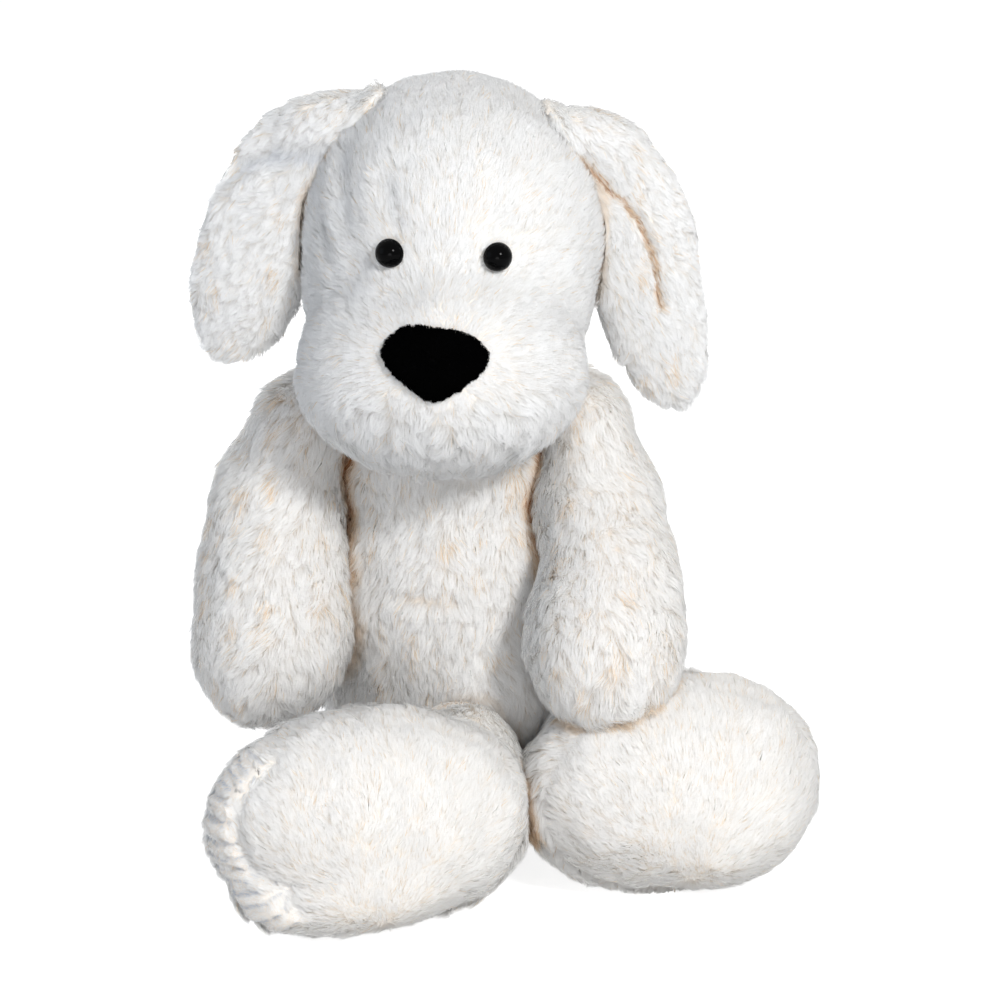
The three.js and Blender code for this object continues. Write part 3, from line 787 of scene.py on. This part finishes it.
def head_keep(roots):
    shown = level_of(TORSO, roots, 1.0) > 1.0
    x = (roots[:, 0] - NOSE[0]) / NOSE_HALF[0]
    z = (roots[:, 2] - NOSE[2]) / NOSE_HALF[1]
    polygon = np.array(NOSE_OUTLINE) * 0.9
    inside = np.ones(len(roots), bool)
    for (ax, az), (bx, bz) in zip(polygon, np.roll(polygon, -1, 0)):
        inside &= (bx - ax) * (z - az) - (bz - az) * (x - ax) <= 0.0
    shown &= ~(inside & (roots[:, 1] < -40.0))
    for at, _ in EYES.values():
        shown &= np.linalg.norm(roots - at, axis=1) > 6.2
    return shown


# Paths on the face, across and up, with how wide and how deep each crease is and how much painted
# grey shade it gets
BROW_CREASES = [
    ([(-65.0, 289.0), (-64.0, 275.0), (-61.5, 262.0)], 4.5, 2.6, 0.8),
    ([(-57.0, 285.0), (-57.0, 272.0), (-56.0, 264.0)], 3.0, 1.8, 0.6),
    ([(-47.0, 281.0), (-45.0, 272.0), (-42.0, 265.5)], 4.0, 3.0, 1.0),
    ([(-52.0, 272.0), (-49.0, 264.0)], 3.0, 1.6, 0.6),
    ([(-64.0, 259.5), (-52.0, 258.5)], 2.5, 1.8, 0.5),
    ([(-73.0, 262.0), (-70.0, 250.0)], 4.0, 1.8, 0.6),
    ([(3.5, 258.5), (14.0, 254.5)], 2.5, 1.4, 0.3),
]


def on_face(path):
    x, z = np.array(path).T
    return list(on_front(x, z, np.zeros(len(x))))


def head_shaping(points, normals):
    for path, width, depth, _ in BROW_CREASES:
        points = points - normals * groove_at(points, on_face(path), width, depth)[:, None]
    return points


def limb_look(start, end, length, down=0.35, out=0.25, lean=0.62, low=None, **more):
    start, end = np.array(start, float), np.array(end, float)
    along = unit(end - start)

    def look(roots, normals):
        off = roots - start
        spoke = off - along * (off @ along)[:, None]
        flow = along + down * np.array((0.0, 0.0, -1.0)) + out * unit(spoke)
        # Above low, the painted brown shade along the neighbours fades out
        if low is not None:
            more["exposed"] = np.clip((low - roots[:, 2]) / 18.0, 0.0, 1.0)
        return lie(roots, flow, length, lean=lean, **more)

    return look


def torso_look(roots, normals):
    down = np.array((0.0, 0.0, -1.0)) * np.ones((len(roots), 1))
    outward = roots - TORSO["centre"]
    outward[:, 2] = 0.0
    flow = down + 0.25 * unit(outward)
    off = roots[:, 0] - BACK_SEAM_X
    seam = np.abs(off)
    beside = (roots[:, 1] > BACK_Y) & (seam < 9.0) & (np.abs(roots[:, 2] - 92.0) < 27.0)
    apart = np.stack([np.sign(off), np.zeros(len(roots)), np.zeros(len(roots))], 1)
    flow = np.where(beside[:, None], flow + apart * (1.2 * (1.0 - seam / 9.0))[:, None], flow)
    # Painted brown shade where the arms, legs and head meet the body, weaker below the chest, and a
    # faint seam line on the belly
    high = np.clip((roots[:, 2] - 108.0) / 14.0, 0.35, 1.0)
    return lie(roots, flow, 9.0, swirl=0.4, neighbours=TORSO_PAINTED_SHADE_NEIGHBOURS, exposed=high,
               seams=[(BELLY_SEAM, 1.2, 0.15)])


def sole_look(shape, centre, neighbours, gathers):
    centre = np.array(centre, float)

    def look(roots, normals):
        flow = unit(roots - centre + np.array((0.0, 0.0, 40.0)))
        # Shorter pile over the gathers with painted grey shade between the pleats, and painted
        # brown shade along the neighbours
        shorter, grey = rim_share(shape, roots) if gathers else (1.0, np.zeros(len(roots)))
        length = 7.0 * shorter
        lean = 0.6 - 0.3 * np.clip(normals[:, 2], 0.0, 1.0)
        return lie(roots, flow, length, lean=lean * 0.85, swirl=0.35, patches=0.06, pull=0.32,
                   jitter=0.22, grey=grey, neighbours=neighbours)

    return look


# ---------------------------------------------------------------- shapes that the forms leave out

# Paths on the front, across and up
RIGHT_EAR_FOLD = [(-66.0, 289.0), (-82.0, 288.0), (-98.0, 284.0), (-113.0, 278.0)]
LEFT_EAR_SEAM = [
    (27.6, 288.0), (35.0, 280.5), (43.0, 271.0), (53.0, 260.0), (59.0, 243.0), (61.0, 226.0),
]


def ear_shaping(path, width, depth):
    def shape(points, normals):
        groove = groove_at(points, path, width, depth)
        front = np.clip(-normals[:, 1], 0.0, 1.0)
        high = np.clip((points[:, 2] - 282.0) / 10.0, 0.0, 1.0)
        root = crevice(points, [(HEAD, 1.2, 6.0)]) * high
        return points + normals * (root - groove * front)[:, None]
    return shape


BELLY_SEAM = [(-43.0, 113.0), (-31.0, 113.5), (-19.0, 113.0)]
BACK_SEAM = [(BACK_SEAM_X, 84.0, z) for z in (68.0, 92.0, 116.0)]


def torso_shaping(points, normals):
    points = points - normals * groove_at(points, BELLY_SEAM, 1.8, 1.6)[:, None]
    groove = groove_at(points, BACK_SEAM, 3.0, 2.0) * (points[:, 1] > BACK_Y)
    return points - normals * groove[:, None]


SOLE_SEAM = 13.0  # the seam lies this far ahead of the middle of the foot
SIDE_ROUND = 32.0  # the radius that the side of the foot turns ahead with


def sole_frame(shape):
    """The middle of a foot, and its axes ahead, across and up."""
    centre, _, axes = shape["lobes"][1]
    return centre, -axes[:, 1], axes[:, 0], axes[:, 2]


def gathering(shape, points):
    """The gathered side of a sole: where it lies, its pleats, and how far past the seam."""
    centre, facing, across, upward = sole_frame(shape)
    off = points - centre
    around = np.degrees(np.arctan2(off @ upward, off @ across)) % 360.0
    faced = np.clip(unit(level_and_slope(shape, points)[1]) @ facing, -1.0, 1.0)
    # How much the skin faces ahead at the seam, at each place around the foot
    seams = np.interp(around, [145.0, 163.0, 178.0, 188.0, 196.0, 205.0, 215.0, 228.0, 245.0],
                      [0.46, 0.52, 0.61, 0.67, 0.73, 0.84, 0.89, 0.92, 0.90])
    past = (np.arccos(seams) - np.arccos(faced)) * SIDE_ROUND
    beside = np.clip((around - 142.0) / 8.0, 0.0, 1.0) * np.clip((232.0 - around) / 12.0, 0.0, 1.0)
    behind_seam = np.clip((past + 34.0) / 12.0, 0.0, 1.0) * np.clip(-past / 2.5, 0.0, 1.0)
    turns = np.radians(around)
    pleat = 2.0 * np.abs(np.sin(turns * 31.0 + 1.1 * np.sin(turns * 9.0 + 0.7))) ** 0.8 - 1.0
    return beside, behind_seam, pleat, past


def rim_share(shape, roots):
    """The pile is short over the gathers, with painted grey shade between the pleats."""
    beside, behind_seam, pleat, _ = gathering(shape, roots)
    share = beside * behind_seam
    return 1.0 - 0.76 * share, share * np.clip(0.3 - pleat, 0.0, 1.0) * 0.85


def foot_shaping(shape, gathers):
    centre, facing, _, _ = sole_frame(shape)

    def shaping(points, normals):
        off = points - centre
        ahead = off @ facing
        near = np.exp(-(((ahead - SOLE_SEAM) / 2.4) ** 2))
        rim = np.linalg.norm(off - facing * ahead[:, None], axis=1) > 25.0
        depth = np.full(len(points), 0.4)
        moved = points
        if gathers:
            beside, behind_seam, pleat, past = gathering(shape, points)
            near = near * (1.0 - beside) + np.exp(-((past / 2.2) ** 2)) * beside
            moved = moved + normals * (beside * behind_seam * (1.5 * pleat + 2.6))[:, None]
            depth = depth + 2.2 * beside
        return moved - normals * (depth * near * rim)[:, None]

    return shaping


def leg_limits(side):
    def limits(points):
        points = points.copy()
        edge = PART_X + side * LEG_GAP
        bound = np.minimum if side < 0 else np.maximum
        points[:, 0] = bound(points[:, 0], edge)
        points[:, 2] = np.maximum(points[:, 2], FLOOR_Z)
        return points
    return limits


def floor_limit(points):
    points = points.copy()
    points[:, 2] = np.maximum(points[:, 2], FLOOR_Z)
    return points


def split(points, faces, ahead):
    """The faces whose middle lies ahead, and the others, each with the points they use."""
    middles = points[faces].mean(1)
    chosen = ahead(middles)
    parts = []
    for part in (faces[chosen], faces[~chosen]):
        used, renamed = np.unique(part, return_inverse=True)
        parts.append((points[used], renamed.reshape(part.shape)))
    return parts


# ---------------------------------------------------------------- the pieces

def plush(name, shape, detail, sink, body, node, look, keepouts=(), shaping=None, limits=None,
          hidden=(), keep=None, density=DENSITY, seed=0, pile=None):
    rng = np.random.default_rng(SEED + 100 + seed)
    points, faces = skin_points(shape, detail, sink, keepouts, shaping, limits)
    mesh_of(name + "_plush", points, faces, BACKING, body, node)
    count = int(area_of(points, faces) * density)
    chosen = keep or still_shown(hidden)
    strands(name + "_pile", points, faces, body, pile or PILE, count, look, rng,
            chosen)


# The painted brown shade on the body: each neighbour, its share at the edge and its reach
TORSO_PAINTED_SHADE_NEIGHBOURS = [
    (RIGHT_ARM, 1.0, 4.2), (LEFT_ARM, 1.0, 4.0), (RIGHT_LEG, 0.3), (LEFT_LEG, 0.3), (HEAD, 0.15),
]


def make_soft_pieces():
    plush("torso", TORSO, 6, 3.8, "torso", "torso_skin", torso_look, (), torso_shaping, floor_limit,
          hidden=[(HEAD, -8.0)], seed=1)
    plush("head", HEAD, 6, 3.0, "head", "head_skin", head_look, [(TORSO, 1.0)], head_shaping,
          keep=head_keep, seed=2, pile=COOL_PILE)
    for side, name, shape, start, end, leg in (
        (-1, "right", RIGHT_ARM, (-45.0, 25.0, 205.0), (-96.0, -20.0, 70.0), RIGHT_LEG),
        (1, "left", LEFT_ARM, (0.0, 25.0, 205.0), (42.0, -66.0, 80.0), LEFT_LEG),
    ):
        # The arm's pile takes painted brown shade along the body, the leg and the head
        plush(f"{name}_arm", shape, 5, 3.8, f"{name}_arm", f"{name}_arm_skin",
              limb_look(start, end, 9.5, swirl=0.45, pull=0.43,
                        neighbours=[(TORSO, 0.9, 2.4), (leg, 0.35, 2.0), (HEAD, 0.3)]),
              [(TORSO, 2.0), (leg, 0.5), (HEAD, 0.5)], hidden=[(TORSO, 0.0), (leg, 0.0)],
              seed=3 + side)
    for side, name, shape, hip, toe in (
        (-1, "right", RIGHT_LEG, (-28.0, 0.0, 60.0), (-55.0, -130.0, 30.0)),
        (1, "left", LEFT_LEG, (46.0, 0.0, 60.0), (70.0, -92.0, 30.0)),
    ):
        make_leg(name, side, shape, hip, toe)
    # Each groove is how wide and how deep it is, and how strong the left ear's brown seam line and
    # the right ear's painted grey fold shade are
    for side, name, shape, path, root, end, groove in (
        (-1, "right", RIGHT_EAR, RIGHT_EAR_FOLD, (-45.0, 8.0, 312.0), (-104.0, 8.0, 200.0),
         (4.5, 3.0, 0.35)),
        (1, "left", LEFT_EAR, LEFT_EAR_SEAM, (10.0, 8.0, 310.0), (62.0, 8.0, 180.0),
         (2.2, 1.9, 0.8)),
    ):
        make_ear(name, side, shape, path, root, end, groove)
    plush("tail", TAIL, 4, 3.4, "tail", "tail_skin",
          limb_look((-10.75, 92.0, 34.0), (-10.75, 132.0, 58.0), 9.0, down=0.1, out=0.2),
          [(TORSO, 0.5)], hidden=[(TORSO, -2.0)], seed=12)
    top, bottom = NECK_PLACE + (0.0, 0.0, 25.0), NECK_PLACE - (0.0, 0.0, 25.0)
    plush("neck", NECK, 4, NECK_SINK, "neck", "neck_filling",
          limb_look(top, bottom, 7.0, down=0.1, out=0.6),
          hidden=[(TORSO, -3.0), (HEAD, -3.0)], seed=14)


def make_leg(name, side, shape, hip, toe):
    rng = np.random.default_rng(SEED + 120 + side)
    gathers = side < 0
    centre, facing, _, _ = sole_frame(shape)
    points, faces = skin_points(
        shape, 6, 4.4, [(TORSO, 0.8)], foot_shaping(shape, gathers), leg_limits(side))
    (sole, sole_faces), (rest, rest_faces) = split(
        points, faces, lambda middles: (middles - centre) @ facing > SOLE_SEAM)
    body = f"{name}_leg"
    mesh_of(f"{name}_sole_plush", sole, sole_faces, BACKING, body, f"{name}_sole_panel")
    mesh_of(f"{name}_leg_plush", rest, rest_faces, BACKING, body, f"{name}_leg_skin")
    hidden = still_shown([(TORSO, -1.0)])
    other = LEFT_LEG if side < 0 else RIGHT_LEG
    # Painted brown shade where the other leg, the arm and the body meet this leg
    arm = (RIGHT_ARM, 0.8, 1.8) if side < 0 else (LEFT_ARM, 0.3)
    neighbours = [(other, 0.6, 2.0), arm, (TORSO, 0.3, 1.5)]
    strands(f"{name}_sole_pile", sole, sole_faces, body, PILE,
            int(area_of(sole, sole_faces) * DENSITY * 1.15),
            sole_look(shape, centre + facing * 30.0, neighbours, gathers), rng, hidden)
    whole = limb_look(hip, toe, 9.0, down=0.5, out=0.3, patches=0.1, neighbours=neighbours)

    def look(roots, normals):
        made = whole(roots, normals)
        off = roots - centre
        ahead = off @ facing
        spoke = unit(off - facing * ahead[:, None])
        up = np.clip(normals[:, 2:3], 0.0, 1.0)
        front = spoke * (1.0 - up) * 0.4 + np.array((0.0, 0.0, -0.6)) * (1.0 - up) - facing * up
        share = np.clip((ahead[:, None] + 5.0 + 22.0 * up) / 20.0, 0.0, 1.0)
        made["flow"] = made["flow"] * (1.0 - share) + (front + made["flow"] * 0.25) * share
        part = share[:, 0]
        flatter = 0.5 * part * np.clip(normals[:, 2] + 0.1, 0.0, 1.0)
        made["lean"] = made["lean"] * (1.0 - flatter)
        made["length"] = made["length"] * (1.0 - 0.35 * part * up[:, 0])
        made["jitter"] = 0.2
        # Painted grey shade between the pleats of the gathered side
        if gathers:
            shorter, made["grey"] = rim_share(shape, roots)
            made["length"] = made["length"] * shorter
        return made

    strands(f"{name}_leg_pile", rest, rest_faces, body, PILE,
            int(area_of(rest, rest_faces) * DENSITY), look, rng, hidden)


def make_ear(name, side, shape, path, root, end, groove):
    width, depth, share = groove
    # The left ear gets a brown seam line, and the right ear's fold gets painted grey shade
    seams, creases = [(path, width * 0.6, share)], []
    if side < 0:
        seams, creases = [], [(path, width, share)]
    rng = np.random.default_rng(SEED + 140 + side)
    middle_y = shape["centre"][1]
    points, faces = skin_points(
        shape, 6, 3.4, [(HEAD, 0.4)], ear_shaping(path, width, depth), None, 0.35)
    parts = split(points, faces, lambda middles: middles[:, 1] < middle_y)
    body = f"{name}_ear"
    # Painted brown shade where the ear meets the head, fading out towards the top of the ear
    look = limb_look(root, end, 6.8, down=0.2, out=0.45, lean=0.5, low=292.0,
                     neighbours=[(HEAD, 0.22, 1.2)], seams=seams, creases=creases)
    for (own, own_faces), part, node in (
        (parts[0], "front", f"{name}_ear_lining"), (parts[1], "behind", f"{name}_ear_back"),
    ):
        mesh_of(f"{name}_ear_{part}_plush", own, own_faces, BACKING, body, node)
        strands(f"{name}_ear_{part}_pile", own, own_faces, body, COOL_PILE,
                int(area_of(own, own_faces) * DENSITY * 1.2), look, rng,
                still_shown([(HEAD, -1.5)]))


def lathe(profile, sides, at, aim):
    """A profile of (radius, distance along the axis) turned about a line."""
    turn = Vector((0.0, 0.0, 1.0)).rotation_difference(Vector(aim)).to_matrix()
    rows = []
    for radius, along in profile:
        angles = np.arange(sides) * 2.0 * math.pi / sides
        across, up = radius * np.cos(angles), radius * np.sin(angles)
        rows.append(np.stack([across, up, np.full(sides, along)], 1))
    points = np.concatenate(rows) @ np.array(turn).T + at
    faces = []
    for row in range(len(profile) - 1):
        for k in range(sides):
            n = (k + 1) % sides
            a, b = row * sides + k, row * sides + n
            faces.append((a, b, b + sides, a + sides))
    last = (len(profile) - 1) * sides
    faces.append(tuple(range(sides))[::-1])
    faces.append(tuple(range(last, last + sides)))
    return points, faces


def make_eyes():
    for name, (at, aim) in EYES.items():
        profile = [(2.0, -11.6), (2.0, 0.0), (5.2, 0.0), (5.65, 0.35)]
        for step in range(19):
            angle = math.radians(5.0 * step)
            profile.append((5.75 * math.cos(angle) + 0.02, 0.9 + 5.7 * math.sin(angle)))
        points, faces = lathe(profile, 48, at - 1.6 * aim, aim)
        mesh = bpy.data.meshes.new(f"{name}_eye_button")
        mesh.from_pydata((points * MM).tolist(), [], faces)
        mesh.polygons.foreach_set("use_smooth", np.ones(len(faces), bool))
        thing = link(f"{name}_eye_button", mesh, EYE)
        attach(thing, "head")
        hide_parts(f"{name}_eye")


def closed_curve(corners, count):
    """A smooth closed line through the corners."""
    made = []
    total = len(corners)
    for k in range(total):
        p0, p1, p2, p3 = (np.array(corners[(k + j) % total]) for j in (-1, 0, 1, 2))
        for step in range(count):
            t = step / count
            made.append(0.5 * (2 * p1 + (p2 - p0) * t + (2 * p0 - 5 * p1 + 4 * p2 - p3) * t * t
                               + (3 * p1 - p0 - 3 * p2 + p3) * t ** 3))
    return np.array(made)


def on_front(x, z, proud):
    """The front of the head, grown by proud, at each place across and up."""
    near, far = np.full(len(x), -130.0), np.full(len(x), 10.0)
    for _ in range(26):
        middle = (near + far) / 2.0
        hit = level_of(HEAD, np.stack([x, middle, z], 1), 0.0) <= 1.0
        far = np.where(hit, middle, far)
        near = np.where(hit, near, middle)
    at = np.stack([x, far, z], 1)
    _, slope = level_and_slope(HEAD, at)
    return at + unit(slope) * np.asarray(proud)[:, None]


def make_nose():
    rng = np.random.default_rng(SEED + 200)
    outline = closed_curve(NOSE_OUTLINE, 12) * np.array(NOSE_HALF)
    count = len(outline)
    ragged = 1.0 + 0.018 * rng.normal(size=count)
    rings = 22
    rows = []
    for ring in range(rings + 1):
        share = ring / rings
        across = outline * share * (ragged[:, None] if share > 0.9 else 1.0)
        x, z = NOSE[0] + across[:, 0], NOSE[2] + across[:, 1]
        proud = 3.6 * (1.0 - share ** 5) ** 0.5 - 1.2
        rows.append(on_front(x, z, np.full(count, proud) + 0.12 * rng.normal(size=count)))
    rim = outline * 0.95
    back = on_front(NOSE[0] + rim[:, 0], NOSE[2] + rim[:, 1], np.full(count, -4.0))
    rows.append(back)
    points = np.concatenate(rows)
    faces = []
    for row in range(1, len(rows) - 1):
        for k in range(count):
            n = (k + 1) % count
            a, b = row * count + k, row * count + n
            faces.append((a, b, b + count))
            faces.append((a, b + count, a + count))
    middle = len(points)
    tail = middle + 1
    points = np.concatenate([points, rows[0].mean(0)[None], back.mean(0)[None]])
    last = (len(rows) - 1) * count
    for k in range(count):
        n = (k + 1) % count
        faces.append((middle, count + n, count + k))
        faces.append((tail, last + k, last + n))
    faces = np.array(faces)[:, ::-1]
    used, renamed = np.unique(faces, return_inverse=True)
    points, faces = points[used], renamed.reshape(faces.shape)
    if (vertex_normals(points, faces)[:, 1] * (points[:, 1] < points[:, 1].mean())).sum() > 0:
        faces = faces[:, ::-1]
    mesh_of("nose_pad", points, faces, VELOUR, "head", "nose")

    def look(roots, normals):
        flow = unit(roots - NOSE) * 0.6 + np.array((0.0, 0.0, -0.6))
        return lie(roots, flow, 2.3, lean=0.7, width=0.28, swirl=0.5, lock=12, pull=0.3, tan=0.0)

    strands("nose_pile", points, faces, "head", VELOUR_PILE, NOSE_STRANDS, look,
            rng, lambda roots: roots[:, 1] < -60.0)


def dress_cad():
    by_slot = {
        "wadding": WADDING, "pellet_bag": PELLETS, "thread": THREAD, "washer_plastic": WASHER,
    }
    for row in frame["record"]["subparts"]:
        material = by_slot.get(row["material_slot"])
        if material:
            data = frame["nodes"][row["node"]].data
            data.materials.clear()
            data.materials.append(material)


make_camera()
make_light()
make_floor()
BACKING = cloth_material("plush_backing", (0.88, 0.82, 0.75), (0.92, 0.88, 0.83), 60.0, 1400.0)
PILE = pile_material(
    "plush_pile", (0.88, 0.81, 0.73), (0.948, 0.942, 0.93), (0.956, 0.956, 0.955), 0.03)
COOL_PILE = pile_material(
    "head_plush_pile", (0.86, 0.83, 0.79), (0.935, 0.937, 0.935), (0.945, 0.95, 0.957), 0.03)
VELOUR = cloth_material(
    "nose_velour", (0.0006, 0.0006, 0.0008), (0.0014, 0.0014, 0.0016), 90.0, 1800.0, sheen=0.0)
VELOUR_PILE = pile_material(
    "nose_velour_pile", (0.0006,) * 3, (0.001,) * 3, (0.002,) * 3, 0.3, specular=0.0)
EYE = plastic_material("eye_black", (0.0008, 0.0008, 0.001), 0.08, 0.2, 200.0, specular=0.045)
WASHER = plastic_material("washer_white", (0.82, 0.81, 0.77), 0.45, 0.05, 150.0)
WADDING = cloth_material(
    "filling_fibre", (0.82, 0.82, 0.83), (0.9, 0.9, 0.9), 90.0, 700.0, bump=0.5)
PELLETS = cloth_material(
    "pellet_cloth", (0.66, 0.61, 0.52), (0.74, 0.70, 0.62), 120.0, 500.0, bump=0.5)
THREAD = cloth_material(
    "sewing_thread", (0.80, 0.75, 0.66), (0.88, 0.84, 0.76), 300.0, 3000.0, rough=0.7)

make_soft_pieces()
make_eyes()
make_nose()
dress_cad()

bpy.context.scene.view_settings.view_transform = "Standard"
